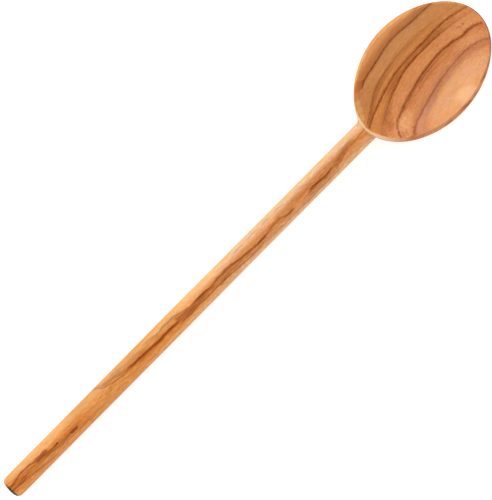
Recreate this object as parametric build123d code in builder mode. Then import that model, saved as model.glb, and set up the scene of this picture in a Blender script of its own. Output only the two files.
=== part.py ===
from build123d import *
from math import asin, atan, cos, degrees, sin, sqrt
import os

# A turned and carved cook's spoon: an egg-shaped hollow bowl on a long round handle.
# It lies as it does on a table: on a small flat under the bowl and on the underside of the butt.
# +X points to the tip of the bowl and +Z up, out of the hollow. All lengths are in millimetres.

# Whole spoon
overall_length = 330.0
rest_cut = 0.3

# Bowl: its back is the lower part of an ellipsoid that is widest a little below the rim
bowl_length = 80.0
bowl_width = 59.0
rim_to_widest = 2.0
back_below_handle = 2.5

# Hollow: also part of an ellipsoid, with its centre in the air above the rim
hollow_depth = 11.0
hollow_rise = 10.0
rim_end_width = 0.8
rim_side_width = 2.0
rim_round = 0.5
arris_round = 0.3

# Handle: a round stick that meets the bowl just below the rim
handle_diameter = 12.2
butt_round = 3.0
rim_to_handle_top = 1.0

# Joint: a round tenon on the handle, glued into a blind socket in the bowl's heel
heel_length = 12.0
heel_swell = 0.3
heel_fillet = 4.0
tenon_diameter = 8.0
tenon_length = 13.0
tenon_chamfer = 0.6
glue_gap = 0.1
socket_end_gap = 0.5

# Worked out from the sizes above
half_length = bowl_length / 2
half_width = bowl_width / 2
handle_radius = handle_diameter / 2
tenon_radius = tenon_diameter / 2
rim_to_axis = rim_to_handle_top + handle_radius
rim_to_underside = rim_to_handle_top + handle_diameter
rim_to_back = rim_to_underside + back_below_handle
widest_to_back = rim_to_back - rim_to_widest
butt_reach = overall_length - half_length
handle_length = overall_length - bowl_length - heel_length
heel_slope = degrees(atan(heel_swell / heel_length))


def section_share(height, centre_to_top):
    """How wide an ellipsoid is at a height above or below its centre, as a share of its width."""
    return sqrt(1 - (height / centre_to_top) ** 2)


# The rim's outline, where the ellipsoid of the back is cut off
rim_share = section_share(rim_to_widest, widest_to_back)
rim_half_length = half_length * rim_share
rim_half_width = half_width * rim_share

# The hollow's ellipsoid passes through the inner edge of the rim
hollow_height = hollow_rise + hollow_depth
hollow_share = section_share(hollow_rise, hollow_height)
hollow_half_length = (rim_half_length - rim_end_width) / hollow_share
hollow_half_width = (rim_half_width - rim_side_width) / hollow_share

# The spoon tips back until its butt touches the table too
contact_reach = butt_reach - butt_round
contact_drop = rim_to_underside - butt_round
lean = asin((back_below_handle - rest_cut) / contact_reach)
rim_height = contact_reach * sin(lean) + contact_drop * cos(lean) + butt_round
bowl_x = overall_length / 2 - half_length

# The rim lies in this plane, with its origin over the middle of the bowl and X to the tip
rim_plane = Plane(origin=(bowl_x, 0, rim_height)).rotated((0, -degrees(lean), 0))


def cross_plane(along, down):
    """A plane square to the handle, placed from the rim: along to the tip, and down from the rim."""
    place = rim_plane.from_local_coords((along, 0, -down))
    return Plane(origin=place, x_dir=rim_plane.y_dir, z_dir=rim_plane.x_dir)


shoulder_plane = cross_plane(-half_length - heel_length, rim_to_axis)
butt_plane = cross_plane(-butt_reach, rim_to_axis)


# The two egg shapes that the bowl is made from, each about its own centre
with BuildPart() as back_form:
    Sphere(1)
    scale(by=(half_length, half_width, widest_to_back))

with BuildPart() as hollow_form:
    Sphere(1)
    scale(by=(hollow_half_length, hollow_half_width, hollow_height))


# Bowl
with BuildPart(rim_plane) as bowl:
    with Locations((0, 0, -rim_to_widest)):
        add(back_form.part)

    # The heel: a round stub that goes on from the handle, swells a little and blends into the back
    with BuildSketch(shoulder_plane):
        Circle(handle_radius)
    extrude(amount=heel_length + half_length, taper=-heel_slope)
    heel_seam = bowl.edges(Select.LAST).filter_by(GeomType.BSPLINE)
    fillet(heel_seam, heel_fillet)

    # The rim is cut flat, and the hollow is scooped out below it
    split(bisect_by=rim_plane, keep=Keep.BOTTOM)
    with Locations((0, 0, hollow_rise)):
        add(hollow_form.part, mode=Mode.SUBTRACT)

    # Both edges of the rim are eased
    rim_face = bowl.faces().filter_by(rim_plane)[0]
    fillet(rim_face.outer_wire().edges(), rim_round)
    rim_face = bowl.faces().filter_by(rim_plane)[0]
    fillet(rim_face.inner_wires().edges(), arris_round)

    # A flat under the back keeps the spoon from rocking
    split(bisect_by=Plane.XY, keep=Keep.TOP)

    # The blind socket for the tenon
    with BuildSketch(shoulder_plane):
        Circle(tenon_radius + glue_gap)
    extrude(amount=tenon_length + socket_end_gap, mode=Mode.SUBTRACT)

bowl.part.label = "bowl"


# Handle, with its butt rounded over and its tenon
with BuildPart() as handle:
    with BuildSketch(butt_plane):
        Circle(handle_radius)
    extrude(amount=handle_length)
    fillet(handle.edges().group_by(Axis.X)[0], butt_round)

    with BuildSketch(shoulder_plane):
        Circle(tenon_radius)
    extrude(amount=tenon_length)
    chamfer(handle.edges().group_by(Axis.X)[-1], tenon_chamfer)

handle.part.label = "handle"


# One STEP file for each piece
os.makedirs("parts", exist_ok=True)
export_step(bowl.part, "parts/bowl.step")
export_step(handle.part, "parts/handle.step")

print("lean in degrees", round(degrees(lean), 3), "rim height", round(rim_height, 3))
for piece in (bowl.part, handle.part):
    box = piece.bounding_box()
    print(piece.label, "volume", round(piece.volume), "from", box.min, "to", box.max)
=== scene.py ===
# %% [markdown]
# # A wooden cook's spoon
# The real spoon is cut from one plank of olive wood: a long round stick that opens into an egg-shaped,
# hollow bowl. A maker saws the outline, turns or planes the stick, scoops the bowl with a gouge, sands
# everything smooth and rubs it with oil.
# Blender comes after the measuring. The exact sizes were settled in a CAD model, so the first cell loads
# that model as a fixed frame. Everything below is shaped around it, in metres and in the same places.

# %% Load the frame
import bpy
import bmesh
from math import cos, pi, radians, sin, sqrt, tau
from mathutils import Matrix, Vector


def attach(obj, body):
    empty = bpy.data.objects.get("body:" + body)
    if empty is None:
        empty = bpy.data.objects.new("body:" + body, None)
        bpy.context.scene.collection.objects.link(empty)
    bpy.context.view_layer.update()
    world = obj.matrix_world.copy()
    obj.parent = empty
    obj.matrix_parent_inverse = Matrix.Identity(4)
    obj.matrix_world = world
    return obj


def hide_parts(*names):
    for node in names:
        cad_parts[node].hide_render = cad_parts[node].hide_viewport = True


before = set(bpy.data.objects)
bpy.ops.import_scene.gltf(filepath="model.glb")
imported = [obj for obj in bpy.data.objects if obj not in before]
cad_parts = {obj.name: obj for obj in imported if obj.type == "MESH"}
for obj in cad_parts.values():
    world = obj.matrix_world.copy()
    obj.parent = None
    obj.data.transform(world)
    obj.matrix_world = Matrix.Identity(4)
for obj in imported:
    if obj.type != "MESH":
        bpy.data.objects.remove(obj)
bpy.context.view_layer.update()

# %% [markdown]
# ## Where things are on the spoon
# A carver measures along the spoon, across it, and up or down from the flat rim of the bowl.
# Doing the same here keeps every later number readable in millimetres. The rim isn't quite level,
# because the spoon rests on the back of its bowl and on the far end of its handle.

# %% Measure from the middle of the bowl's rim
MM = 0.001
LEAN = radians(0.4392)
RIM_MIDDLE = Vector((125.0, 0.0, 15.4)) * MM
ALONG = Vector((cos(LEAN), 0.0, sin(LEAN)))
ACROSS = Vector((0.0, 1.0, 0.0))
UP = Vector((-sin(LEAN), 0.0, cos(LEAN)))


def on_spoon(along, across, up):
    """The place of a point that is measured in mm from the middle of the rim."""
    return RIM_MIDDLE + (along * ALONG + across * ACROSS + up * UP) * MM


print("tip of the bowl:", [round(1000 * x, 1) for x in on_spoon(40, 0, 0)])

# %% [markdown]
# ## The camera
# The photograph looks down on the spoon from high above, leaning about 12 degrees to one side, so that
# one wall of the bowl just shows. The lens is long, because the handle is as wide at one end as at the
# other. A roll of 45 degrees lays the spoon along the picture's diagonal.

# %% Hang the camera over the spoon
PHOTO_WIDTH, PHOTO_HEIGHT = 492, 500
SIDE_LEAN = radians(12.5)
END_LEAN = radians(0.96)
ROLL = radians(45.18)
CAMERA_DISTANCE = 1.3
CAMERA_LENS = 189.2
AIM = Vector((0.00141, 0.00067, 0.007))

towards_camera = Vector((-sin(END_LEAN), -sin(SIDE_LEAN), cos(SIDE_LEAN))).normalized()
spoon_line = (Vector((1, 0, 0)) - towards_camera.x * towards_camera).normalized()
spoon_side = towards_camera.cross(spoon_line)
picture_right = cos(ROLL) * spoon_line - sin(ROLL) * spoon_side
picture_up = sin(ROLL) * spoon_line + cos(ROLL) * spoon_side

camera_data = bpy.data.cameras.new("camera")
camera_data.lens = CAMERA_LENS
camera_data.clip_start, camera_data.clip_end = 0.1, 10
camera = bpy.data.objects.new("camera", camera_data)
bpy.context.scene.collection.objects.link(camera)
turn = Matrix((picture_right, picture_up, towards_camera)).transposed().to_4x4()
camera.matrix_world = Matrix.Translation(AIM + CAMERA_DISTANCE * towards_camera) @ turn
bpy.context.scene.camera = camera


def in_photo(point):
    """Where a point lands in the photograph, in its own pixels from the top left corner."""
    seen = turn.to_3x3().transposed() @ (point - camera.location)
    zoom = PHOTO_HEIGHT * camera_data.lens / camera_data.sensor_width / -seen.z
    return round(PHOTO_WIDTH / 2 + zoom * seen.x, 1), round(PHOTO_HEIGHT / 2 - zoom * seen.y, 1)


print("tip and butt in the photo:", in_photo(on_spoon(40, 0, -2)), in_photo(on_spoon(-290, 0, -7)))

# %% [markdown]
# ## The bowl's shape
# The bowl is an egg cut in half by the rim, with a flatter egg scooped out of it. Both are drawn as
# rings, one inside the other: up the hollow, over the lip, and down the back. The lip is crisp on the
# inside, where the gouge stopped, and falls away outwards, where it was sanded. Each ring is a half
# length, a half width and a height. A saw leaves no perfect ellipse either, so slow waves push the
# outside in and out by about a millimetre, and the rim is drawn out a little where the handle grows
# from it. The last number of a ring is its share of that.

# %% Lay out the rings of the bowl
COLUMNS = 96
BACK_HALF_LENGTH, BACK_HALF_WIDTH, BACK_DEPTH, BACK_CENTRE = 40.0, 29.5, 13.7, -2.0
HOLLOW_HALF_LENGTH, HOLLOW_HALF_WIDTH, HOLLOW_RADIUS, HOLLOW_CENTRE = 44.1, 30.92, 21.0, 10.0
HOLLOW_WAVE_SHARE = 0.5


def hollow_ring(angle):
    """A ring of the hollow, from 0 degrees at its deepest point to 61.6 at the lip."""
    share = sin(radians(angle))
    height = HOLLOW_CENTRE - HOLLOW_RADIUS * cos(radians(angle))
    return HOLLOW_HALF_LENGTH * share, HOLLOW_HALF_WIDTH * share, height, HOLLOW_WAVE_SHARE * share


def back_ring(angle):
    """A ring of the bowl's back, from 0 degrees where it is widest to 90 underneath."""
    share = cos(radians(angle))
    height = BACK_CENTRE - BACK_DEPTH * sin(radians(angle))
    return BACK_HALF_LENGTH * share, BACK_HALF_WIDTH * share, height, share


hollow_rings = [hollow_ring(angle) for angle in (14, 19, 24, 29, 34, 39, 44, 48.5, 52.5, 56, 59)]
lip_rings = [
    (38.46, 26.97, -0.27, 0.45),
    (38.74, 27.33, -0.03, 0.5),
    (38.9, 27.62, 0.0, 0.55),
    (39.1, 28.02, -0.14, 0.65),
    (39.36, 28.5, -0.42, 0.8),
    (39.6, 28.96, -0.88, 0.9),
    (39.82, 29.32, -1.4, 1.0),
]
back_rings = [back_ring(angle) for angle in (0, 5.5, 11, 16.5, 22, 28, 34, 40, 46, 52, 57.5, 63, 70, 78)]
rings = hollow_rings + lip_rings + back_rings
NECK_COLUMNS, NECK_ROWS = 8, 12
neck_top = len(hollow_rings) + len(lip_rings) - 1
neck_bottom = neck_top + NECK_ROWS

INSET = -0.25
NECK_PULL, NECK_NARROWNESS, NECK_FADE = 0.7, 24, 4
# How many waves go round the rim, how high they are in mm, and how far they are turned in degrees
WAVES = ((1, 0.1, -24), (2, 0.55, -85), (3, 0.22, 80), (4, 0.2, -17))


def carved(ring, angle):
    """A point of a ring, pushed in or out by the waves and drawn out at the neck."""
    half_length, half_width, height, share = ring
    push = INSET + sum(size * cos(count * angle + radians(turned)) for count, size, turned in WAVES)
    pull = NECK_PULL * max(-cos(angle), 0) ** NECK_NARROWNESS * min(2 * share, 1) ** NECK_FADE
    outwards = Vector((cos(angle) / half_length, sin(angle) / half_width, 0)).normalized()
    place = Vector((half_length * cos(angle), half_width * sin(angle), height))
    return place + (push * share + pull) * outwards


print(len(rings), "rings of", COLUMNS, "points")

# %% [markdown]
# ## Building the bowl's skin
# Neighbouring rings are joined by four-sided faces. The two smallest rings are closed by a square net,
# because a fan of triangles would pinch the shine in the middle of the hollow. Where the handle will
# grow out, a patch of the back is left open.

# %% Close a ring with a net
def net_inside(mesh, ring, height_at):
    """Closes a ring with a square net, whose inner points take their height from height_at."""
    side = len(ring) // 4
    net = {}
    for n in range(side):
        net[n, 0] = ring[n]
        net[side, n] = ring[side + n]
        net[side - n, side] = ring[2 * side + n]
        net[0, side - n] = ring[3 * side + n]
    flat = {spot: Vector(point.co) for spot, point in net.items()}
    for i in range(1, side):
        for j in range(1, side):
            s, t = i / side, j / side
            edges = (1 - t) * flat[i, 0] + t * flat[i, side] + (1 - s) * flat[0, j] + s * flat[side, j]
            corners = (1 - s) * (1 - t) * flat[0, 0] + s * (1 - t) * flat[side, 0]
            corners += s * t * flat[side, side] + (1 - s) * t * flat[0, side]
            place = edges - corners
            place.z = height_at(place.x, place.y, place.z)
            net[i, j] = mesh.verts.new(place)
    for i in range(side):
        for j in range(side):
            mesh.faces.new((net[i, j], net[i + 1, j], net[i + 1, j + 1], net[i, j + 1]))


def hollow_height(along, across, height):
    """How high the hollow's floor is at a point between its sides."""
    spread = (along / HOLLOW_HALF_LENGTH) ** 2 + (across / HOLLOW_HALF_WIDTH) ** 2
    return HOLLOW_CENTRE - HOLLOW_RADIUS * sqrt(1 - spread)


def same_height(along, across, height):
    """The height that a point already has, for a net that closes a flat end."""
    return height


print("a net in a ring of the bowl is", COLUMNS // 4, "faces long and wide")

# %% Join the rings of the bowl
bowl_mesh = bmesh.new()
loops = []
for ring in rings:
    loops.append([bowl_mesh.verts.new(carved(ring, tau * column / COLUMNS)) for column in range(COLUMNS)])

neck_left, neck_right = (COLUMNS - NECK_COLUMNS) // 2, (COLUMNS + NECK_COLUMNS) // 2
for row in range(len(loops) - 1):
    for column in range(COLUMNS):
        if neck_top <= row < neck_bottom and neck_left <= column < neck_right:
            continue
        following = (column + 1) % COLUMNS
        upper, lower = loops[row], loops[row + 1]
        bowl_mesh.faces.new((upper[column], upper[following], lower[following], lower[column]))
net_inside(bowl_mesh, loops[0], hollow_height)
net_inside(bowl_mesh, loops[-1], same_height)
print("bowl cage without its neck:", len(bowl_mesh.verts), "points,", len(bowl_mesh.faces), "faces")

# %% [markdown]
# ## The neck
# From the edge of the open patch, forty curves swing over to the round stick. Each one is a Bezier
# curve whose handles aim at the spot where stick and back would meet in a sharp corner, and that gives
# the soft hollow that a rasp leaves there. The heel ends in a flat face with a socket for the handle.

# %% Helpers for the round stick and for curves
STICK_RADIUS = 5.95
STICK_DEPTH = 7.1
STICK_SIDES = 40
SHOULDER = -52.0
CAGE_GROWTH = 3 / (2 + cos(tau / STICK_SIDES))


def stick_angle(side):
    """The angle of one side of the stick, from its top line towards the bowl's left."""
    return (NECK_COLUMNS / 2 - side) * tau / STICK_SIDES


def stick_point(along, side, radius=STICK_RADIUS):
    """A point of the cage round the stick, a hair outside it, because smoothing draws it in."""
    angle = stick_angle(side)
    reach = radius * CAGE_GROWTH
    return Vector((along, reach * sin(angle), reach * cos(angle) - STICK_DEPTH))


def join_rings(mesh, first, second):
    """Four-sided faces between two closed rings with as many points."""
    for n in range(len(first)):
        m = (n + 1) % len(first)
        mesh.faces.new((first[n], first[m], second[m], second[n]))


def bezier(start, start_handle, end_handle, end, share):
    """A point on a Bezier curve, share of the way from its start to its end."""
    rest = 1 - share
    bend = 3 * rest * rest * share * start_handle + 3 * rest * share * share * end_handle
    return rest ** 3 * start + bend + share ** 3 * end


def sharp_corner(side):
    """Where the stick's side would run into the back of the bowl."""
    foot = stick_point(0, side)
    share = (foot.y / BACK_HALF_WIDTH) ** 2 + ((foot.z - BACK_CENTRE) / BACK_DEPTH) ** 2
    return Vector((-BACK_HALF_LENGTH * sqrt(max(1 - share, 0)), foot.y, foot.z))


print("a smoothed cage of", STICK_SIDES, "sides is drawn in by", round(CAGE_GROWTH - 1, 4))

# %% Swing the neck over to the stick
TENON_RADIUS = 4.0
GLUE_GAP = 0.1
SOCKET_LENGTH = 13.5
FILLET_STEPS, FILLET_FULLNESS = 6, 0.6
HEEL_RING = -48.0
EDGE_WIDTH = 0.5

edge_of_patch = [loops[neck_top][column] for column in range(neck_left, neck_right)]
edge_of_patch += [loops[row][neck_right] for row in range(neck_top, neck_bottom)]
edge_of_patch += [loops[neck_bottom][column] for column in range(neck_right, neck_left, -1)]
edge_of_patch += [loops[row][neck_left] for row in range(neck_bottom, neck_top, -1)]

neck_loops = [edge_of_patch]
for step in range(1, FILLET_STEPS + 1):
    loop = []
    for side, start in enumerate(edge_of_patch):
        corner = sharp_corner(side)
        reach = (start.co - corner).length
        end = corner + Vector((-reach, 0, 0))
        start_handle = start.co.lerp(corner, FILLET_FULLNESS)
        end_handle = end.lerp(corner, FILLET_FULLNESS)
        place = bezier(start.co, start_handle, end_handle, end, step / FILLET_STEPS)
        loop.append(bowl_mesh.verts.new(place))
    neck_loops.append(loop)
heel_rings = [(HEEL_RING, STICK_RADIUS), (SHOULDER + EDGE_WIDTH, STICK_RADIUS), (SHOULDER, STICK_RADIUS)]
socket_radius = TENON_RADIUS + GLUE_GAP
heel_rings += [(SHOULDER, socket_radius), (SHOULDER + SOCKET_LENGTH, socket_radius)]
for along, radius in heel_rings:
    neck_loops.append([bowl_mesh.verts.new(stick_point(along, side, radius)) for side in range(STICK_SIDES)])
for first, second in zip(neck_loops, neck_loops[1:]):
    join_rings(bowl_mesh, first, second)
net_inside(bowl_mesh, neck_loops[-1], same_height)

print("bowl cage:", len(bowl_mesh.verts), "points,", len(bowl_mesh.faces), "faces")

# %% Turn a cage into a smooth piece
SMOOTHING = 2


def finish_piece(mesh, name, sharp_loops):
    """Places a cage on the spoon, flattens it on the table, and smooths all but its cut edges."""
    bmesh.ops.recalc_face_normals(mesh, faces=mesh.faces)
    for face in mesh.faces:
        face.smooth = True
    crease = mesh.edges.layers.float.new("crease_edge")
    rims = [set(loop) for loop in sharp_loops]
    for edge in mesh.edges:
        if any(edge.verts[0] in rim and edge.verts[1] in rim for rim in rims):
            edge[crease] = 1.0
            edge.smooth = False
    for point in mesh.verts:
        point.co = on_spoon(*point.co)
        point.co.z = max(point.co.z, 0)
    data = bpy.data.meshes.new(name)
    mesh.to_mesh(data)
    mesh.free()
    piece = bpy.data.objects.new(name, data)
    bpy.context.scene.collection.objects.link(piece)
    smoothing = piece.modifiers.new("smoothing", "SUBSURF")
    smoothing.levels = smoothing.render_levels = SMOOTHING
    return piece


bowl = finish_piece(bowl_mesh, "carved_bowl", neck_loops[-3:])
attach(bowl, "root")
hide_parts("bowl")
print(bowl.name, "stands for the CAD node bowl")

# %% [markdown]
# ## The handle
# The stick is planed round and sanded by hand, so it is almost, but not quite, a true cylinder: it
# bows sideways by a tenth of a millimetre, and swells and flattens by even less. It ends in a flat
# butt with a rounded edge. It is drawn as rings too, one every few millimetres, and it carries the
# round tenon that sits in the bowl's heel, out of sight.

# %% Shape the handle
BUTT = -290.0
BUTT_ROUND = 3.0
BOW, SWELL, UNEVEN = 0.13, 0.03, 0.05
RING_EVERY = 5.0
ROUND_STEPS = 5
TENON_LENGTH, TENON_CHAMFER = 13.0, 0.6


def stick_ring(mesh, along, radius):
    """A ring of the handle, with its slight bow, swell and unevenness."""
    past = min(max((SHOULDER - along) / (SHOULDER - BUTT), 0), 1)
    bow = BOW * sin(pi * past)
    loop = []
    # It is flattened now one way and now another, but stays round where it meets the bowl
    for side in range(STICK_SIDES):
        uneven = UNEVEN * sin(9 * past) * sin(2 * stick_angle(side) + 4 * past) * min(past * 12, 1)
        point = stick_point(along, side, radius + SWELL * past + uneven)
        loop.append(mesh.verts.new(point + Vector((0, bow, 0))))
    return loop


handle_mesh = bmesh.new()
straight = int((SHOULDER - BUTT - BUTT_ROUND) / RING_EVERY)
tenon_end = SHOULDER + TENON_LENGTH
profile = [(tenon_end, TENON_RADIUS - TENON_CHAMFER), (tenon_end - TENON_CHAMFER, TENON_RADIUS)]
profile += [(SHOULDER + RING_EVERY, TENON_RADIUS), (SHOULDER, TENON_RADIUS)]
profile += [(SHOULDER, STICK_RADIUS), (SHOULDER - EDGE_WIDTH, STICK_RADIUS)]
profile += [(SHOULDER - RING_EVERY * (n + 1), STICK_RADIUS) for n in range(straight)]
for step in range(1, ROUND_STEPS + 1):
    angle = pi / 2 * step / ROUND_STEPS
    profile.append((BUTT + BUTT_ROUND * (1 - sin(angle)), STICK_RADIUS - BUTT_ROUND * (1 - cos(angle))))
handle_loops = [stick_ring(handle_mesh, along, radius) for along, radius in profile]
for first, second in zip(handle_loops, handle_loops[1:]):
    join_rings(handle_mesh, first, second)
net_inside(handle_mesh, handle_loops[0], same_height)
net_inside(handle_mesh, handle_loops[-1], same_height)

handle = finish_piece(handle_mesh, "round_handle", handle_loops[3:5])
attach(handle, "root")
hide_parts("handle")
print("handle of", len(profile), "rings, from", SHOULDER, "to", BUTT, "mm")

# %% [markdown]
# ## Olive wood
# Olive grows slowly and unevenly, so its year rings show as dark, wandering lines in honey-coloured
# wood, with reddish and mauve clouds between them. The rings are sheets that run through the whole
# plank. Where the gouge cuts them on the slope of the hollow they bow, and along the stick they run out
# at a shallow angle. So the lines are laid in space, not painted on the surface: each one is a sheet
# whose place across the spoon is a curve along it, and the cut shows it on every side.

# %% Small helpers for the wood's nodes
wood = bpy.data.materials.new("olive_wood")
wood.use_nodes = True
wood_nodes = wood.node_tree.nodes
shader = wood_nodes["Principled BSDF"]


def feed(socket, value):
    """Gives a socket either another node's result or a plain value."""
    if isinstance(value, bpy.types.NodeSocket):
        socket.id_data.links.new(value, socket)
    else:
        socket.default_value = value


def reckon(operation, *values, nodes=wood_nodes):
    """The result of a Math node, in the wood unless other nodes are given."""
    node = nodes.new("ShaderNodeMath")
    node.operation = operation
    for socket, value in zip(node.inputs, values):
        feed(socket, value)
    return node.outputs[0]


def times(first, *others):
    """Several values multiplied, such as masks that all have to agree."""
    for other in others:
        first = reckon("MULTIPLY", first, other)
    return first


def from_range(value, low, high, to_low=0.0, to_high=1.0, smooth=False):
    """Stretches low to high into to_low to to_high, and stops there."""
    node = wood_nodes.new("ShaderNodeMapRange")
    node.interpolation_type = "SMOOTHSTEP" if smooth else "LINEAR"
    for socket, given in zip(node.inputs, (value, low, high, to_low, to_high)):
        feed(socket, given)
    return node.outputs[0]


print("the wood starts with", len(wood_nodes), "nodes")

# %% Find each point's place in the plank
object_place = wood_nodes.new("ShaderNodeTexCoord").outputs["Object"]
plank = wood_nodes.new("ShaderNodeMapping")
plank.inputs["Scale"].default_value = (1 / MM,) * 3
plank.inputs["Rotation"].default_value = (0, LEAN, 0)
plank.inputs["Location"].default_value = Matrix.Rotation(LEAN, 3, "Y") @ RIM_MIDDLE * (-1 / MM)
feed(plank.inputs["Vector"], object_place)
plank_place = plank.outputs[0]
parts = wood_nodes.new("ShaderNodeSeparateXYZ")
feed(parts.inputs[0], plank_place)
along, across, up = parts.outputs
print("the plank's coordinates are in mm from the rim's middle")

# %% Tell the hollow, the outside and the stick apart
LIP_HALF_LENGTH, LIP_HALF_WIDTH, LIP_SOFTNESS = 38.9, 27.6, 0.01
BOWL_STARTS, START_SOFTNESS = -41.0, 0.4
HEEL_MIDDLE, HEEL_UNDERSIDE = -6.6, -7.2
# Where the stick's wood begins to blend in, inside and outside the bowl, and where it has taken over
BLEND_INSIDE, BLEND_OUTSIDE, STICK_WOOD = -38.0, -25.0, -40.5

from_along = reckon("POWER", reckon("DIVIDE", along, LIP_HALF_LENGTH), 2.0)
from_across = reckon("POWER", reckon("DIVIDE", across, LIP_HALF_WIDTH), 2.0)
past_lip = from_range(reckon("ADD", from_along, from_across), 1 - LIP_SOFTNESS, 1 + LIP_SOFTNESS)
outside = times(past_lip, from_range(along, BOWL_STARTS, BOWL_STARTS + START_SOFTNESS))
under_heel = from_range(up, HEEL_MIDDLE, HEEL_UNDERSIDE)
blend_step = BLEND_OUTSIDE - BLEND_INSIDE
blend_starts = reckon("MULTIPLY_ADD", reckon("MAXIMUM", outside, under_heel), blend_step, BLEND_INSIDE)
in_stick = from_range(along, blend_starts, STICK_WOOD, smooth=True)
print("the lip is", 2 * LIP_HALF_LENGTH, "mm long and", 2 * LIP_HALF_WIDTH, "mm wide")

# %% [markdown]
# ## Layers and fibres
# A layer is a sheet of wood that the tree grew at one time. In the bowl the sheets lie aslant, so a
# layer's number is across plus up. In the stick they stand almost upright. No sheet is flat: two
# noises, one slow and one quick, make it wander. The noise is stretched along the spoon, because wood
# changes slowly along its fibres and quickly across them.

# %% Noise, and the layers that wander with it
def grain_noise(place, length, width, detail=2.0, seed=0.0):
    """Cloudy noise whose blobs are length mm long and width mm wide; another seed gives other blobs."""
    stretch = wood_nodes.new("ShaderNodeVectorMath")
    stretch.operation = "MULTIPLY_ADD"
    feed(stretch.inputs[0], place)
    feed(stretch.inputs[1], (1 / length, 1 / width, 1 / width))
    feed(stretch.inputs[2], (seed, seed * 1.7, seed * 0.6))
    noise = wood_nodes.new("ShaderNodeTexNoise")
    noise.inputs["Scale"].default_value = 1.0
    noise.inputs["Detail"].default_value = detail
    feed(noise.inputs["Vector"], stretch.outputs[0])
    return noise.outputs["Fac"]


STICK_TILT = 0.3
SLOW_SWING, QUICK_SWING = 0.5, 1.2
slow_noise = grain_noise(plank_place, 28, 9, 1.0, 3.1)
slow_wander = reckon("MULTIPLY_ADD", slow_noise, SLOW_SWING, -SLOW_SWING / 2)
quick_noise = grain_noise(plank_place, 4, 1.4, 4.0, 7.7)
quick_wander = reckon("MULTIPLY_ADD", quick_noise, QUICK_SWING, -QUICK_SWING / 2)
wander = reckon("ADD", slow_wander, quick_wander)
bowl_layer = reckon("ADD", reckon("ADD", across, up), wander)
from_stick_axis = reckon("MULTIPLY_ADD", up, STICK_TILT, reckon("ADD", across, STICK_TILT * STICK_DEPTH))
stick_layer = reckon("ADD", from_stick_axis, wander)
print("the layers wander by a few tenths of a millimetre")

# %% Fibres run along the lines
BOWL_SLANT, STICK_SLANT = -0.15, 0.06
bowl_slanted = reckon("MULTIPLY_ADD", along, BOWL_SLANT, bowl_layer)
stick_slanted = reckon("MULTIPLY_ADD", along, STICK_SLANT, stick_layer)


def in_bowl_or_stick(bowl_value, stick_value):
    """The bowl's value, which turns into the stick's where the handle begins."""
    step = reckon("SUBTRACT", stick_value, bowl_value)
    return reckon("MULTIPLY_ADD", step, in_stick, bowl_value)


fibres = wood_nodes.new("ShaderNodeCombineXYZ")
feed(fibres.inputs[0], along)
feed(fibres.inputs[1], in_bowl_or_stick(bowl_slanted, stick_slanted))
feed(fibres.inputs[2], up)
fibre_place = fibres.outputs[0]
print("fibres slant by", BOWL_SLANT, "in the bowl and", STICK_SLANT, "in the handle")

# %% [markdown]
# ## The growth lines of the bowl
# A growth line is a bent sheet of darker wood, and three curves describe it: its path {along
# the spoon: layer}, its profile from one face to the other {mm from the path: darkness}, and its
# strength {along the spoon: darkness}, because some lines die out and come back. A Float Curve node
# holds the path and the strength, and a Color Ramp node holds the profile.

# %% A growth line as a bent sheet
BOWL_SPAN = (-45.0, 45.0)
STICK_SPAN = (-292.0, -36.0)
LAYER_SPAN = (-30.0, 30.0)
PROFILE_REACH = 8.0
NOT_DARK = (0, 0, 0, 1)


def curve_along(span, points, low=0.0, high=1.0):
    """A value that follows the given points {mm along the spoon: value}."""
    node = wood_nodes.new("ShaderNodeFloatCurve")
    curve = node.mapping.curves[0]
    places = []
    for where, what in sorted(points.items()):
        places.append(((where - span[0]) / (span[1] - span[0]), (what - low) / (high - low)))
    curve.points[0].location, curve.points[1].location = places[0], places[-1]
    for place in places[1:-1]:
        curve.points.new(*place)
    node.mapping.update()
    feed(node.inputs["Value"], from_range(along, span[0], span[1]))
    return reckon("MULTIPLY_ADD", node.outputs[0], high - low, low)


def growth_line(layer, span, path, profile, strength):
    """How dark one growth line makes the wood: its profile across, times its strength along."""
    offset = reckon("SUBTRACT", layer, curve_along(span, path, *LAYER_SPAN))
    ramp = wood_nodes.new("ShaderNodeValToRGB")
    stops = ramp.color_ramp.elements
    stops[0].position, stops[0].color = 0.0, NOT_DARK
    stops[1].position, stops[1].color = 1.0, NOT_DARK
    for place, dark in profile.items():
        stops.new((place + PROFILE_REACH) / (2 * PROFILE_REACH)).color = (dark, dark, dark, 1)
    feed(ramp.inputs["Fac"], from_range(offset, -PROFILE_REACH, PROFILE_REACH))
    return times(ramp.outputs["Color"], curve_along(span, strength))


def darkest(lines):
    """The darkest of several lines at each point."""
    found = lines[0]
    for line in lines[1:]:
        found = reckon("MAXIMUM", found, line)
    return found


print("layers are counted from", LAYER_SPAN[0], "to", LAYER_SPAN[1], "mm")

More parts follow.
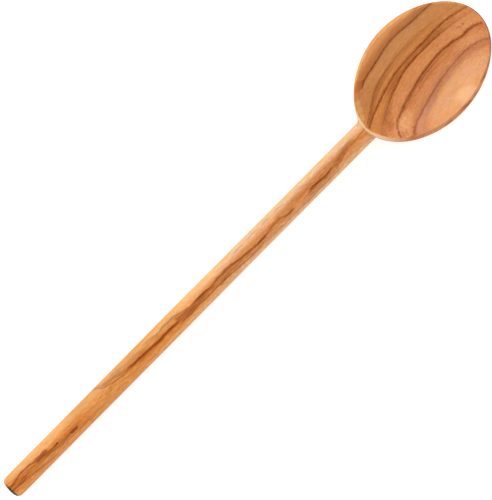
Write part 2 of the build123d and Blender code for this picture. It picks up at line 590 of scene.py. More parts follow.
# %% Lines in the far half of the bowl
# Each sheet is written as (path, profile, strength), and so is each stroke further down
bowl_sheets = [
    # Under the far lip, shading off towards it
    ({38: 21.5, 26: 20.3, 13: 18.2, 7: 18.6, 0: 18.4, -6: 17.2, -12: 15.8, -18: 15, -24: 14.2, -34: 9},
     {-2.4: 0, -1: 0.3, -0.5: 0.9, 0.4: 1, 0.9: 0.5, 3: 0.26, 6: 0},
     {38: 0.5, 26: 0.85, 13: 1, 0: 1, -22: 1, -27: 0.4, -31: 0}),
    # A soft brown line that joins the next one near the neck
    ({34: 10.5, 25: 8.8, 13: 8.8, 0: 8, -12: 6.6, -24: 4, -28: 2, -31: 0.4, -34: -0.3, -39: -1.3},
     {-3.6: 0, -2.5: 0.35, -0.8: 0.5, 0: 0.8, 0.5: 0.6, 1.3: 0},
     {36: 0.3, 12: 0.55, -6: 0.8, -12: 1, -28: 1, -36: 0.6}),
    # The two long dark lines in the middle
    ({40: 7, 34.5: 6, 25: 4.8, 19: 3.9, 13: 2.7, 0: 1.7, -12: 0.7, -24: -1.4, -31: -2.1, -36: -2.5,
      -39: -2.4},
     {-1: 0, -0.4: 1, 0.4: 1, 0.9: 0.35, 2: 0.1, 3: 0},
     {40: 0.5, 34: 0.8, 22: 1, 0: 0.9, -20: 1, -38: 0.9}),
    ({40: 3, 25: 0.6, 19: 0.2, 13: -0.4, 0: -1.2, -6: -2, -12: -3.5, -18: -5.2, -24: -7, -34: -9},
     {-0.9: 0, -0.4: 1, 0.4: 1, 0.9: 0.5, 1.8: 0},
     {40: 0.2, 26: 0.5, 18: 0.9, 0: 1, -14: 1, -24: 0.7, -36: 0.4}),
    # Browner wood between those two
    ({30: 3.4, 13: 1.2, 0: 0.2, -12: -1.5, -20: -3.6},
     {-2.4: 0, -1.6: 0.5, 0: 0.65, 1.6: 0.5, 2.4: 0},
     {32: 0.1, 24: 0.7, 16: 1, 8: 0.9, -4: 0.9, -13: 1, -20: 0.5, -25: 0}),
    # All of them run together at the neck
    ({-24: 3.4, -28: 1.8, -31: 0.2, -36: -1.2},
     {-1.8: 0, -1.2: 0.7, 1: 0.7, 1.6: 0},
     {-24: 0, -28: 0.6, -33: 1, -38: 0.8}),
    ({-20: -5.8, -24: -7.3, -29: -8.3, -34: -9.5},
     {-3: 0, -1.5: 0.35, 1.5: 0.35, 2.6: 0},
     {-18: 0, -23: 1, -34: 1, -39: 0.4}),
]
print(len(bowl_sheets), "lines in the far half of the bowl")

# %% Lines in the near half of the bowl
LILAC_PATH = {38: -12, 32.5: -12.9, 25: -14, 13: -16.6, 6: -18, 0: -19.2, -6: -20.2, -12: -20.8,
              -18: -21.2, -24: -21, -28: -20, -33: -18.5}
bowl_sheets += [
    # One dark line, with two hair lines beside it
    ({38: -5.2, 32: -6, 27: -7.6, 22: -7.5, 13: -8.1, 6: -9.4, -1: -10.6, -12: -12.7, -17: -13.4,
      -24: -14.3, -27: -14.8, -31: -17},
     {-2.2: 0, -1.2: 0.2, -0.6: 0.4, -0.35: 1, 0.4: 1, 0.8: 0.4, 1.4: 0},
     {38: 0.6, 30: 1, 0: 1, -12: 0.92, -22: 0.88, -30: 0.7, -36: 0.1}),
    ({26: -9.8, 14: -9.8, 6: -10.8, -1: -11.8, -10: -13.2, -17: -14.5, -24: -15.6},
     {-0.5: 0, -0.1: 0.8, 0.15: 0.8, 0.5: 0},
     {26: 0, 16: 0.4, 8: 0.9, -4: 1, -14: 0.7, -24: 0}),
    ({30: -11.2, 20: -11, 8: -12.4, -1: -13.4, -10: -14.6, -20: -16.4},
     {-0.5: 0, 0: 0.6, 0.5: 0},
     {30: 0, 18: 0.4, 4: 0.9, -8: 0.8, -18: 0}),
    # The dark core of the lilac line
    (LILAC_PATH,
     {-0.6: 0, -0.2: 0.65, 0.2: 0.65, 0.6: 0.2, 2.6: 0.1, 4: 0},
     {38: 0.6, 26: 0.9, 12: 0.8, 0: 1, -24: 1, -32: 0.7}),
]
bowl_lines = [growth_line(bowl_layer, BOWL_SPAN, *sheet) for sheet in bowl_sheets]
lilac_band = growth_line(
    bowl_layer, BOWL_SPAN, LILAC_PATH,
    {-3: 0, -1.8: 0.55, 0: 0.55, 0.6: 0.2, 2: 0},
    {38: 0.6, 26: 0.8, 12: 0.7, 0: 1, -12: 0.9, -20: 0.4, -32: 0.25})
print(len(bowl_lines), "lines in the whole bowl, and a lilac band")

# %% [markdown]
# ## The growth lines of the handle
# The stick runs along the layers, so it cuts each of them at a very shallow angle. A line comes up
# somewhere, drifts to one side and is gone after a few centimetres. They look like strokes of a pen: fine
# ones, bold ones and broad bands. The lists follow them from the neck to the butt, and a last step
# shifts them all a hair towards the far side.

# %% Strokes from the neck to the middle of the handle
FINE = {-0.5: 0, -0.15: 0.85, 0.15: 0.85, 0.5: 0}
BOLD = {-0.8: 0, -0.5: 1, 0.5: 1, 0.8: 0}
BAND = {-1.7: 0, -1.3: 0.7, 1.2: 0.65, 1.6: 0}

strokes = [
    # Broad brown wood below the neck
    ({-40: 1.5, -44: 0.9, -48: 0.4, -52: 0.1}, FINE, {-39: 0.6, -50: 0.8, -53: 0}),
    ({-46: 2.2, -50: 1.6, -53: 1.2, -56: 0.4, -60: -0.8, -64: -1.7}, BAND,
     {-46: 0, -49: 0.6, -52: 0.82, -62: 0.85, -64.5: 0}),
    ({-63: -0.8, -65: -1, -71: -1.5, -75: -1.1, -79.5: -1, -82: -2}, BOLD,
     {-63.5: 0, -65: 0.7, -69: 1, -79: 1, -81: 0.6, -82.5: 0}),
    ({-64: -3, -70: -2.8, -76: -2.5, -82: -3, -90: -2.8}, BAND,
     {-64: 0, -68: 0.6, -80: 0.6, -84: 0.2, -90: 0}),
    # The long dark line on the near side
    ({-60: -4.2, -76: -4.4, -92: -4.2, -100: -3.9, -110: -4, -116: -3.9, -121: -3.3, -125: -3.5,
      -129: -3.1, -134: -2.8, -139: -2.5, -144: -2.3, -155: -2.3, -158: -2, -165: -2.3, -170: -2},
     {-0.6: 0, -0.2: 0.85, 0.25: 0.85, 0.6: 0.2, 1: 0},
     {-60: 0.2, -70: 0.7, -92: 0.7, -98: 0.4, -112: 0.4, -118: 0.8, -150: 1, -168: 0.9, -172: 0}),
    # The wavy line down the middle, with a shade on its near side
    ({-92: -1.6, -97: -1.5, -98.6: -1.1, -100.5: -0.3, -106.8: -0.3, -109.5: -0.8, -113: -1.1, -119: -1.1,
      -122: -0.9, -126: -0.5, -129: -0.1, -132.7: 0.5, -137.3: 1.1, -142: 1, -146: 0.7, -149.4: 0.3,
      -151.6: 0.6, -157: 0.7, -161: 0.7, -165.3: 1.2, -168: 1.9, -170.7: 2.6, -173.5: 3.2, -176.6: 3,
      -179: 3.4, -184: 2.8, -188: 3.6, -192: 3.9},
     {-2.6: 0, -2.2: 0.32, -0.8: 0.4, -0.5: 1, 0.4: 1, 0.7: 0},
     {-92: 0.1, -94.5: 0.8, -98: 0.7, -103: 0.6, -110: 0.5, -113: 1, -120: 0.9, -126: 1, -135: 0.9,
      -142: 0.8, -150: 0.9, -153: 1, -160: 0.8, -166: 0.6, -172: 0.7, -180: 0.6, -188: 0.5, -194: 0}),
    # Wood between those two
    ({-126: -2.2, -132: -1.6, -139.5: -1.4, -144: -1.9}, FINE,
     {-126: 0, -130: 0.6, -138: 1, -140.5: 1, -144: 0}),
    ({-128: -1.2, -134: -0.9, -142: -0.6, -150: -0.9, -158: -0.7, -165: -0.4, -169: 0.1, -172: 0.8,
      -174: 1.4}, BAND,
     {-126: 0.2, -134: 0.5, -150: 0.6, -157: 0.9, -170: 1, -172.4: 1, -173.2: 0}),
    # Short hairs near the far side
    ({-92: 4, -110: 4.1, -130: 3.9}, FINE,
     {-94: 0, -97: 0.5, -100: 0.4, -103: 0, -106: 0.4, -109: 0.3, -111: 0, -114: 0.4, -119: 0.4, -121: 0,
      -125: 0.5, -128: 0.4, -130: 0}),
]
print(len(strokes), "strokes from the neck to the middle")

# %% Strokes from the middle of the handle towards the butt
strokes += [
    # The dark line that drifts over to the far side
    ({-171: -0.6, -172.3: -0.4, -175.7: -0.2, -179: 0, -181.6: -0.1, -184.8: -0.5, -188: -0.2, -192: 0,
      -195: 0.3, -198.3: 0.4, -201.5: 0.5, -204.2: 0.9, -207: 1.2, -210: 1.7, -214.2: 2.7, -217.8: 3.2,
      -219.6: 3.7, -222.4: 4.6, -227: 6.6},
     {-1.6: 0, -0.8: 0.4, -0.55: 1, 0.5: 1, 0.8: 0.3, 1.2: 0},
     {-171: 0, -172.5: 0.8, -176: 1, -204: 1, -206: 0.7, -211: 0.65, -216: 0.45, -221: 0.45, -227: 0}),
    ({-204: 1.2, -208: 1.4, -212: 2.2, -216: 2.9, -220: 3.6, -226: 5.8},
     {-0.9: 0, -0.6: 0.5, 0.8: 0.45, 1.2: 0},
     {-203: 0, -206: 1, -210: 1, -213: 0.5, -220: 0.4, -226: 0}),
    ({-205: 0.3, -209.6: 0.1, -212.4: 0.7, -215: 1.2, -217.8: 1.8, -219.6: 2.4, -222: 3.2, -223: 4.2,
      -226: 6.2}, FINE,
     {-205: 0.3, -208: 0.8, -221: 0.9, -226: 0}),
    # Faint ones beside it
    ({-183: 2.3, -188: 2.5, -193: 2.3}, FINE, {-184: 0, -187: 0.6, -191: 0.6, -193: 0}),
    ({-190: 1.7, -200: 2, -206: 2.6}, BAND, {-190: 0, -194: 0.45, -204: 0.4, -208: 0}),
    ({-200: -3.8, -212: -3.6, -225: -3.5, -236: -4.2},
     {-1.6: 0, -1.2: 0.5, -0.8: 0, -0.3: 0, 0: 0.5, 0.4: 0.4, 0.9: 0},
     {-198: 0, -210: 0.5, -230: 0.8, -236: 1, -239: 0}),
    ({-236: -3.3, -240: -3.1, -243: -2.9}, FINE, {-236: 0, -238.5: 0.8, -243: 0.8, -244: 0}),
]
print(len(strokes), "strokes down to the last quarter")

# %% Strokes at the butt
strokes += [
    # A broken dark line down the middle
    ({-243: -1.6, -248: -1.6, -252: -1.9, -256: -2, -260: -1.5, -263: -1.1, -267: -0.5, -270: 0.2}, BOLD,
     {-243: 0, -243.6: 1, -247.8: 1, -248.5: 0.6, -255: 0.55, -260: 0.5, -266: 0.4, -270: 0}),
    ({-255: -0.2, -257.6: -0.3, -261: -0.5, -264: -0.3}, BOLD,
     {-255.4: 0, -255.9: 1, -257.6: 1, -258.4: 0.7, -263: 0.75, -266: 0.3, -269: 0}),
    # A dark knot that ends in a fine line
    ({-262: 0.6, -264: 1, -266: 1.1, -268: 1.2, -270: 1.3},
     {-1.5: 0, -1.2: 0.9, 0.9: 0.85, 1.3: 0},
     {-262: 0, -263.3: 0.9, -268.5: 1, -270.5: 0.4, -271.5: 0}),
    ({-268: 0.9, -271.7: 1.5, -274: 2, -277.2: 2.1, -279.5: 2.2, -282.2: 1.8, -284.5: 1.3, -287.2: 1.1,
      -289: 1.6},
     {-0.7: 0, -0.3: 0.9, 0.25: 0.9, 0.6: 0},
     {-268: 0.5, -274: 0.9, -282: 0.9, -290: 1}),
    ({-282: 1.2, -286: 0.9, -289: 1}, BOLD, {-281: 0, -284: 0.7, -290: 0.8}),
    # Two lines that close in on each other
    ({-262: -4.1, -268: -3.8, -272: -3, -276: -2.4, -280: -1.7, -284: -1.4, -288: -1.1},
     {-0.9: 0, -0.5: 0.75, 0.3: 0.75, 0.7: 0},
     {-261: 0, -264: 0.4, -271: 0.6, -277: 0.6, -281: 0.9, -290: 1}),
    ({-275: -0.6, -280: -0.5, -288: 0.3}, FINE,
     {-274: 0, -277: 0.6, -279: 1, -281: 0.9, -286: 0.8, -290: 0.9}),
    ({-268: -0.6, -274: 0.4, -282: 0.9}, FINE, {-267: 0, -270: 0.6, -280: 0.6, -284: 0}),
]
STROKE_SHIFT = -0.3
stroke_layer = reckon("ADD", stick_layer, STROKE_SHIFT)
stick_lines = [growth_line(stroke_layer, STICK_SPAN, *stroke) for stroke in strokes]
print(len(stick_lines), "strokes in the whole handle")

# %% [markdown]
# ## The colour between the lines
# The wood between the lines changes from layer to layer as well: dusty pink-brown beside the lilac
# line, pale outside it, golden in the middle of the bowl. The handle is honey-coloured at the neck and
# turns orange towards the butt. Each is a run of colours over the layers, as a screen shows them.

# %% Runs of colours
def as_seen(red, green, blue):
    """A colour as a screen shows it, from 0 to 255, in the linear numbers that shaders use."""
    shares = [part / 255 for part in (red, green, blue)]
    return [part / 12.92 if part < 0.04 else ((part + 0.055) / 1.055) ** 2.4 for part in shares] + [1.0]


def shades(value, colours):
    """A run of colours over value, each written as (place, colour)."""
    low, high = colours[0][0], colours[-1][0]
    ramp = wood_nodes.new("ShaderNodeValToRGB")
    ramp.color_ramp.interpolation = "B_SPLINE"
    stops = ramp.color_ramp.elements
    stops[0].position, stops[0].color = 0.0, as_seen(*colours[0][1])
    stops[1].position, stops[1].color = 1.0, as_seen(*colours[-1][1])
    for place, colour in colours[1:-1]:
        stops.new((place - low) / (high - low)).color = as_seen(*colour)
    feed(ramp.inputs["Fac"], from_range(value, low, high))
    return ramp.outputs["Color"]


def mixed(kind, mask, first, second):
    """first where the mask is 0, and second laid over it in the given way where it is 1."""
    node = wood_nodes.new("ShaderNodeMix")
    node.data_type, node.blend_type = "RGBA", kind
    for socket, value in ((node.inputs["Factor"], mask), (node.inputs[6], first), (node.inputs[7], second)):
        feed(socket, value)
    return node.outputs[2]


print("colours are written as a screen shows them")

# %% Colour the layers of the bowl and the handle
HONEY_ENDS, ORANGE_STARTS = -130.0, -178.0
bowl_ground = shades(bowl_slanted, [
    (-45, (206, 138, 84)), (-31, (220, 156, 108)), (-27, (226, 162, 113)), (-22.5, (221, 157, 107)),
    (-21, (212, 144, 96)), (-19, (206, 134, 84)), (-16, (212, 138, 82)), (-13.5, (206, 129, 73)),
    (-11, (204, 126, 68)), (-9, (220, 146, 90)), (-5, (215, 140, 84)), (-1, (208, 132, 68)),
    (3, (216, 142, 76)), (7, (208, 138, 75)), (11, (212, 146, 88)), (16, (211, 144, 85)),
    (20, (211, 136, 74)), (22.5, (213, 137, 72)), (24.5, (232, 160, 92)), (27, (240, 174, 106)),
    (35, (212, 144, 90))])
neck_ground = shades(stick_layer, [
    (-8, (226, 174, 122)), (-5.5, (236, 188, 144)), (-3.5, (231, 166, 112)), (-2, (224, 148, 84)),
    (0, (218, 137, 70)), (1.5, (221, 145, 86)), (2.5, (224, 157, 104)), (3.5, (228, 175, 128)),
    (5, (227, 184, 141)), (8, (222, 180, 134))])
butt_ground = shades(stick_layer, [
    (-8, (218, 152, 92)), (-6, (226, 152, 84)), (-4, (236, 152, 74)), (-1.6, (224, 138, 58)),
    (-0.6, (213, 124, 50)), (0.5, (220, 132, 56)), (1.5, (221, 136, 61)), (2.5, (216, 136, 63)),
    (3.5, (217, 145, 74)), (5, (217, 154, 88)), (8, (212, 150, 86))])
to_butt = from_range(along, HONEY_ENDS, ORANGE_STARTS, smooth=True)
stick_ground = mixed("MIX", to_butt, neck_ground, butt_ground)
ground = mixed("MIX", in_stick, bowl_ground, stick_ground)
print("pale and mauve-brown layers in the bowl, honey and orange in the handle")

# %% [markdown]
# ## Clouds, streaks and patches
# Sanded wood is never one plain colour. Soft golden and rosy clouds lie over the layers, and streaks
# and hairs of lighter and darker fibre run through them. They are liveliest along the handle's near
# side and calmer in the bowl, in its pale wood most of all. A few patches can't come from noise,
# because everyone would look for them: the pale end of the bowl, a reddish corner, a tiny fleck. They
# are ovals with soft, ragged edges. One of them is no wood colour but a painted highlight, on the slope
# of the hollow that faces the lamps.

# %% Clouds, streaks and hairs in the grain
GOLDEN, ROSY = (1.03, 1.05, 0.82, 1), (1.03, 0.94, 1.02, 1)
CLOUD_EDGE, CLOUD_CORE = 0.5, 0.64
NOISE_LOW, NOISE_HIGH = 0.3, 0.7
STREAK_WIDTH, HAIR_WIDTH = 0.9, 0.4
golden = from_range(grain_noise(fibre_place, 6, 2.2, 2.0, 2.2), CLOUD_EDGE, CLOUD_CORE, smooth=True)
rosy = from_range(grain_noise(fibre_place, 5, 1.9, 2.0, 8.4), CLOUD_EDGE, CLOUD_CORE, smooth=True)
clouded = mixed("MULTIPLY", golden, ground, GOLDEN)
clouded = mixed("MULTIPLY", rosy, clouded, ROSY)

streak = grain_noise(fibre_place, 12, STREAK_WIDTH, 3.0, 5.0)
hair = grain_noise(fibre_place, 5, HAIR_WIDTH, 2.0, 6.5)
mottle = grain_noise(fibre_place, 1.8, 0.9, 3.0, 9.1)
streaked = from_range(streak, NOISE_LOW, NOISE_HIGH, 0.88, 1.1)
haired = from_range(hair, NOISE_LOW, NOISE_HIGH, 0.85, 1.12)
mottled = from_range(mottle, NOISE_LOW, NOISE_HIGH, 0.89, 1.1)
unevenness = reckon("SUBTRACT", times(streaked, haired, mottled), 1.0)
# Past the lilac line the bowl is calm, and so is the far side of the handle
bowl_liveliness = from_range(bowl_layer, -22.0, -18.0, 0.4, 0.75)
stick_liveliness = from_range(stick_layer, 1.0, 4.5, 1.2, 0.55)
liveliness = in_bowl_or_stick(bowl_liveliness, stick_liveliness)
brightness = reckon("MULTIPLY_ADD", unevenness, liveliness, 1.0)
print("streaks", STREAK_WIDTH, "mm wide, and hairs of", HAIR_WIDTH, "mm")

# %% Patches where the wood turns paler, darker or redder, and a painted highlight
PALE_WOOD, HONEY_WOOD = as_seen(243, 178, 124), as_seen(252, 192, 120)
BROWN_WOOD, RED_WOOD = as_seen(186, 112, 56), as_seen(176, 92, 52)
PAINTED_HIGHLIGHT, MAUVE_WOOD, FLECK = as_seen(250, 202, 156), as_seen(228, 162, 134), as_seen(120, 58, 24)

# Place along, layer, half length, half width, share, shade
BOWL_PATCHES = (
    (-26, -17.3, 11, 4.2, 0.6, PALE_WOOD),
    (34, 0, 16, 18, 0.16, PALE_WOOD),
    (27, -11.6, 9, 3.2, 0.25, PALE_WOOD),
    (-26, 5, 11, 8, 0.32, BROWN_WOOD),
    (-1, -13, 10, 2.8, 0.35, BROWN_WOOD),
    (-28, -9.5, 5, 3.2, 0.4, BROWN_WOOD),
    (-30, -12.2, 3.8, 2.0, 0.5, RED_WOOD),
    (-16, -22, 12, 1.6, 0.5, MAUVE_WOOD),
    (-26.5, 14.8, 4.5, 3, 0.5, RED_WOOD),
    (36.8, -7.5, 3.5, 3.0, 0.2, RED_WOOD),
    (31.2, -2.2, 0.6, 0.5, 0.8, FLECK),
    (28.6, -2.6, 2.4, 0.6, 0.5, RED_WOOD),
    (-29, -17.6, 2.0, 0.8, 0.45, RED_WOOD),
    (-27, -18.6, 1.6, 0.7, 0.4, RED_WOOD),
    (-23.4, -20.8, 2.0, 0.5, 0.3, RED_WOOD),
    (-30.3, -16.2, 1.8, 0.8, 0.5, RED_WOOD),
    (-33.4, 10.2, 2.2, 2.6, 0.4, HONEY_WOOD),
    (-35.2, 7.2, 2.2, 2.8, 0.4, HONEY_WOOD),
    (-37.2, 3.8, 2, 2.8, 0.4, HONEY_WOOD),
    (12, 25, 9, 2.2, 0.35, HONEY_WOOD),
    # A painted highlight, not wood colour: the shine on the slope of the hollow that faces the lamps
    (8.5, -26.8, 9, 2.0, 0.42, PAINTED_HIGHLIGHT),
    (5, -24.6, 6, 0.8, 0.15, BROWN_WOOD),
    (4.5, -29.2, 2.6, 1.4, 0.7, RED_WOOD),
    (19, -25, 5, 1.5, 0.3, RED_WOOD),
)
STICK_PATCHES = (
    (-76, 1.6, 32, 2.6, 0.38, BROWN_WOOD),
    (-172, 3.6, 30, 3.2, 0.4, HONEY_WOOD),
    (-264, 4.5, 30, 3.2, 0.4, HONEY_WOOD),
    (-150, 5.2, 24, 2.2, 0.35, HONEY_WOOD),
    (-220, 1.5, 24, 5.5, 0.28, HONEY_WOOD),
    (-168, -4.8, 34, 1.8, 0.3, HONEY_WOOD),
    (-262, -2, 30, 3, 0.28, BROWN_WOOD),
    (-215, 4.0, 9, 1.6, 0.4, RED_WOOD),
)
RAGGEDNESS = 1.2
PATCH_CORE = 0.1
ragged = reckon("MULTIPLY_ADD", mottle, RAGGEDNESS, 1 - RAGGEDNESS / 2)


def add_patches(ground_shade, layer, patches):
    """Lays soft oval patches over a shade."""
    for spot_along, spot_layer, length, width, share, shade in patches:
        towards_end = reckon("MULTIPLY_ADD", along, 1 / length, -spot_along / length)
        towards_side = reckon("MULTIPLY_ADD", layer, 1 / width, -spot_layer / width)
        from_spot = reckon("MULTIPLY_ADD", towards_end, towards_end, times(towards_side, towards_side))
        mask = from_range(times(from_spot, ragged), 1.0, PATCH_CORE, 0.0, share, smooth=True)
        ground_shade = mixed("MIX", mask, ground_shade, shade)
    return ground_shade


patched = add_patches(clouded, bowl_layer, BOWL_PATCHES)
patched = add_patches(patched, stick_layer, STICK_PATCHES)
print(len(BOWL_PATCHES) + len(STICK_PATCHES), "patches and flecks")

# %% [markdown]
# ## Drawing the lines over the wood
# A growth line is made of the same wood, only darker, so it multiplies the colour below it instead of
# covering it. Two noises break it up a little: it thins where the fibres part, and it is dashed where
# pores open. In the handle it is kept almost whole. The fibres come last. A dark fibre is warmer too,
# so the shade that they multiply by loses more blue than red.

# %% Draw the lines
DARK_LINE = (0.42, 0.23, 0.03, 1)
LILAC_LINE = (0.6, 0.4, 0.34, 1)
LEAST_IN_STICK = 0.88
LINE_CONTRAST = 1.15
LEAST_THINNED, LEAST_DASHED = 0.85, 0.75
DARK_FIBRE, LIGHT_FIBRE = (0.76, 0.7, 0.55, 1), (1.24, 1.3, 1.45, 1)
FIBRE_SPAN = 0.25

thinned = from_range(grain_noise(fibre_place, 9, 0.5, 3.0, 1.3), 0.3, 0.55, LEAST_THINNED, 1.0)
dashed = from_range(grain_noise(fibre_place, 1.6, 0.5, 2.0, 4.3), 0.35, 0.5, LEAST_DASHED, 1.0)
broken = reckon("MAXIMUM", times(thinned, dashed), times(in_stick, LEAST_IN_STICK))

dark_mask = times(in_bowl_or_stick(darkest(bowl_lines), darkest(stick_lines)), broken)
dark_mask = reckon("POWER", dark_mask, LINE_CONTRAST)
lilac_mask = times(in_bowl_or_stick(lilac_band, 0.0), broken)
lined = mixed("MULTIPLY", dark_mask, patched, DARK_LINE)
lined = mixed("MULTIPLY", lilac_mask, lined, LILAC_LINE)

fibre_lightness = from_range(brightness, 1 - FIBRE_SPAN, 1 + FIBRE_SPAN)
fibre_shade = mixed("MIX", fibre_lightness, DARK_FIBRE, LIGHT_FIBRE)
grained = mixed("MULTIPLY", 1.0, lined, fibre_shade)
print("the dark lines keep", DARK_LINE[0], "of the wood's red and", DARK_LINE[2], "of its blue")

# %% [markdown]
# ## The lip, the outside and the butt
# The wall that shows below the near lip, which faces away from the window, gets a painted shade, browner
# and blotchy, and the outside below the far lip, which faces the window, a lighter painted shade. Towards
# the neck the lip gets a painted highlight, paler where it faces the light. The butt is cut across the
# fibres, and such end grain soaks up the most oil and is dark. The near half of its edge is painted
# nearly black, a painted contact shadow. Each of these is a mask from where a point is and from the way
# that the surface faces there.

# %% Where a point is below the lip, and the way it faces
facing = wood_nodes.new("ShaderNodeSeparateXYZ")
feed(facing.inputs[0], wood_nodes.new("ShaderNodeTexCoord").outputs["Normal"])
faces_tip, faces_left, faces_up = facing.outputs
below_lip = times(outside, from_range(up, 0.02, -0.3))
print("a surface's facing is", len(facing.outputs), "numbers from -1 to 1")

# %% Paint shade on the walls below the lip
DARK_WALL_SHADE, LIGHT_WALL_SHADE = (0.58, 0.42, 0.3, 1), (0.86, 0.7, 0.58, 1)
FAR_WALL_SHADE = (0.84, 0.8, 0.78, 1)
# The painted shade is turned a little from the neck to the tip, and reaches on round the tip
TO_TIP, ROUND_TIP = 0.35, 0.45

tip_share = reckon("MULTIPLY", reckon("MAXIMUM", faces_tip, 0.0), ROUND_TIP)
faces_near = reckon("SUBTRACT", reckon("MULTIPLY_ADD", faces_tip, TO_TIP, tip_share), faces_left)
away_from_neck = from_range(along, -26.0, -8.0, 0.35, 1.0)
# Painted shade, broken into blotches, on the wall below the near lip, which faces away from the window
near_wall_shade = times(below_lip, from_range(faces_near, 0.1, 0.5), away_from_neck)
shade_blotches = from_range(grain_noise(plank_place, 6, 2.5, 2.0, 5.9), 0.42, 0.58)
wall_shaded = mixed("MULTIPLY", near_wall_shade, grained, mixed("MIX", shade_blotches, DARK_WALL_SHADE, LIGHT_WALL_SHADE))
# A lighter painted shade on the outside below the far lip, which faces the window
far_wall_shade = times(below_lip, from_range(faces_left, 0.2, 0.6))
wall_shaded = mixed("MULTIPLY", far_wall_shade, wall_shaded, FAR_WALL_SHADE)
print("the near wall keeps", DARK_WALL_SHADE[1], "to", LIGHT_WALL_SHADE[1], "of the wood's green")

# %% Paint a highlight on the lip at the neck
LIP_HIGHLIGHT = as_seen(248, 220, 176)
LIP_DEPTH, LIP_FADE = 1.05, 0.3

# A painted highlight on the lip's outer slope, where it faces towards the neck and the far side
faces_neck = reckon("SUBTRACT", reckon("MULTIPLY", faces_left, 0.5), faces_tip)
lip = times(outside, from_range(faces_neck, 0.1, 0.6, smooth=True))
lip = times(lip, from_range(up, -LIP_DEPTH - LIP_FADE, -LIP_DEPTH))
towards_neck = from_range(along, -8.0, -38.0, 0.05, 0.85)
off_far_side = from_range(across, 14.0, 5.0, 0.35, 1.0)
lip_highlighted = mixed("MIX", times(lip, towards_neck, off_far_side), wall_shaded, LIP_HIGHLIGHT)
print("the pale lip is", LIP_DEPTH, "mm deep")

# %% Paint shade on the stick's sides, and darken the butt with end grain and a painted shadow
STICK_SIDE_SHADE = (0.84, 0.85, 0.86, 1)
SHADE_STARTS, SHADE_FULL = -110.0, -180.0
END_GRAIN_AND_SHADOW = (0.03, 0.015, 0.02, 1)
EDGE_STARTS, EDGE_FULL = BUTT + 1.7, BUTT + 1.1

# Painted shade on the sides of the stick, where it faces sideways or towards the window, growing towards the
# butt
on_side = reckon("MAXIMUM", from_range(faces_up, 0.36, 0.1), from_range(faces_left, 0.86, 0.98))
shaded_side = times(on_side, from_range(along, SHADE_STARTS, SHADE_FULL))
side_shaded = mixed("MULTIPLY", shaded_side, lip_highlighted, STICK_SIDE_SHADE)
# A painted contact shadow: the near half of the butt's edge turns nearly black
shadowed_end_edge = times(from_range(along, EDGE_STARTS, EDGE_FULL), from_range(across, 3.0, -0.5))
# The flat end face is darkened as end grain
end_face = from_range(faces_tip, -0.93, -0.99, 0.0, 0.8)
end_grain_and_shadow = reckon("MAXIMUM", shadowed_end_edge, end_face)
feed(shader.inputs["Base Color"], mixed("MULTIPLY", end_grain_and_shadow, side_shaded, END_GRAIN_AND_SHADOW))
print("the butt keeps", END_GRAIN_AND_SHADOW[0], "of the wood's red")

# %% [markdown]
# ## Sheen and relief
# Sandpaper leaves the dense dark lines smoother than the soft wood between them, so they shine a
# little more. The fibres stand up by about a hundredth of a millimetre. That is too fine for the mesh,
# and a Bump node is enough: it tilts the surface in the light, and leaves the mesh as it is.

# %% Let the grain shine unevenly and stand up a little
DULL, SATIN = 0.5, 0.36
FIBRE_RISE = 0.03 * MM
MIRRORING = 0.2

dullness = from_range(streak, NOISE_LOW, NOISE_HIGH, SATIN, DULL)
smoothed_in_lines = times(dark_mask, reckon("SUBTRACT", SATIN, dullness))
feed(shader.inputs["Roughness"], reckon("ADD", dullness, smoothed_in_lines))
relief = wood_nodes.new("ShaderNodeBump")
relief.inputs["Distance"].default_value = FIBRE_RISE
feed(relief.inputs["Height"], times(haired, mottled))
feed(shader.inputs["Normal"], relief.outputs["Normal"])
shader.inputs["Specular IOR Level"].default_value = MIRRORING
for piece in (bowl, handle):
    piece.data.materials.append(wood)
print("the wood has", len(wood_nodes), "nodes")

# %% [markdown]
# ## The table
# The spoon lies on white paper that runs out of view on every side. Paper lit like the spoon would come
# out pale grey, so it also glows a little. Only the camera and reflections see the glow: it lights
# nothing, and the soft shadow of the spoon stays.

# %% Lay white paper under the spoon
PAPER_REACH = 3.0
PAPER_WHITE = 0.85
PAPER_DULLNESS = 0.9
PAPER_GLOW = 0.57

paper_mesh = bpy.data.meshes.new("paper")
paper_corners = [(PAPER_REACH * x, PAPER_REACH * y, 0) for x, y in ((-1, -1), (1, -1), (1, 1), (-1, 1))]
paper_mesh.from_pydata(paper_corners, [], [(0, 1, 2, 3)])
table = bpy.data.objects.new("paper", paper_mesh)
bpy.context.scene.collection.objects.link(table)

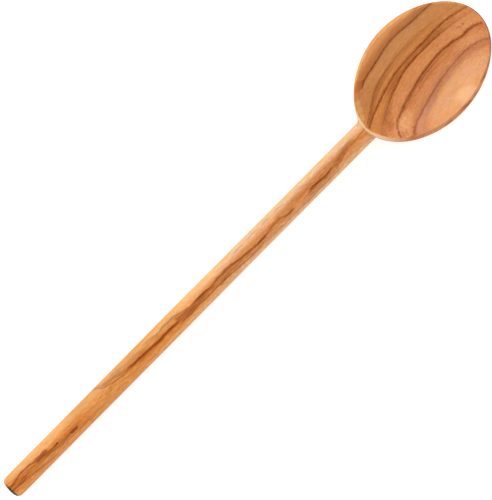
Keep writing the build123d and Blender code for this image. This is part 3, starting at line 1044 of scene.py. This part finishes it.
paper = bpy.data.materials.new("white_paper")
paper.use_nodes = True
paper_nodes = paper.node_tree.nodes
sheet = paper_nodes["Principled BSDF"]
sheet.inputs["Base Color"].default_value = (PAPER_WHITE, PAPER_WHITE, PAPER_WHITE, 1)
sheet.inputs["Roughness"].default_value = PAPER_DULLNESS
sheet.inputs["Emission Color"].default_value = (1, 1, 1, 1)

rays = paper_nodes.new("ShaderNodeLightPath").outputs
seen = rays["Is Camera Ray"]
for kind in ("Is Glossy Ray", "Is Transmission Ray"):
    seen = reckon("MAXIMUM", seen, rays[kind], nodes=paper_nodes)
feed(sheet.inputs["Emission Strength"], reckon("MULTIPLY", seen, PAPER_GLOW, nodes=paper_nodes))
paper_mesh.materials.append(paper)
print("paper", 2 * PAPER_REACH, "m wide")

# %% [markdown]
# ## The light
# The picture has the even light of a product photograph. A white room gives most of it. A big window
# beyond the spoon's left side brightens the slope of the hollow that faces it, a lower one catches the
# wall behind, and a reflector on the near side keeps the shadow pale. Each lamp is given by its level:
# at level 1, a surface that faces it shows its colour just as it is written. A square lamp's power
# follows from that level and its distance.

# %% Light the room and set up three soft lamps
ROOM_LEVEL = 0.68
LAMP_DISTANCE = 1.8

room = bpy.data.worlds.new("white_room")
bpy.context.scene.world = room
room.use_nodes = True
backdrop = room.node_tree.nodes["Background"]
backdrop.inputs["Color"].default_value = (1, 1, 1, 1)
backdrop.inputs["Strength"].default_value = ROOM_LEVEL


def soft_light(name, direction, size, level):
    """A square lamp that looks at the spoon, and lights what faces it at the given level."""
    data = bpy.data.lights.new(name, "AREA")
    data.shape, data.size = "SQUARE", size
    data.energy = level * pi * pi * LAMP_DISTANCE ** 2
    lamp = bpy.data.objects.new(name, data)
    bpy.context.scene.collection.objects.link(lamp)
    away = Vector(direction).normalized()
    lamp.location = away * LAMP_DISTANCE
    lamp.rotation_mode = "QUATERNION"
    lamp.rotation_quaternion = away.to_track_quat("Z", "Y")
    return lamp


lamps = [
    soft_light("window", (0.1, 1.2, 1.25), 1.3, 0.43),
    soft_light("low_window", (-0.15, 2.6, 0.7), 0.4, 0.14),
    soft_light("reflector", (0.0, -2.4, 1.0), 1.5, 0.2),
]
bpy.context.scene.view_settings.view_transform = "Standard"
print("lamp powers in W:", [round(lamp.data.energy, 1) for lamp in lamps])
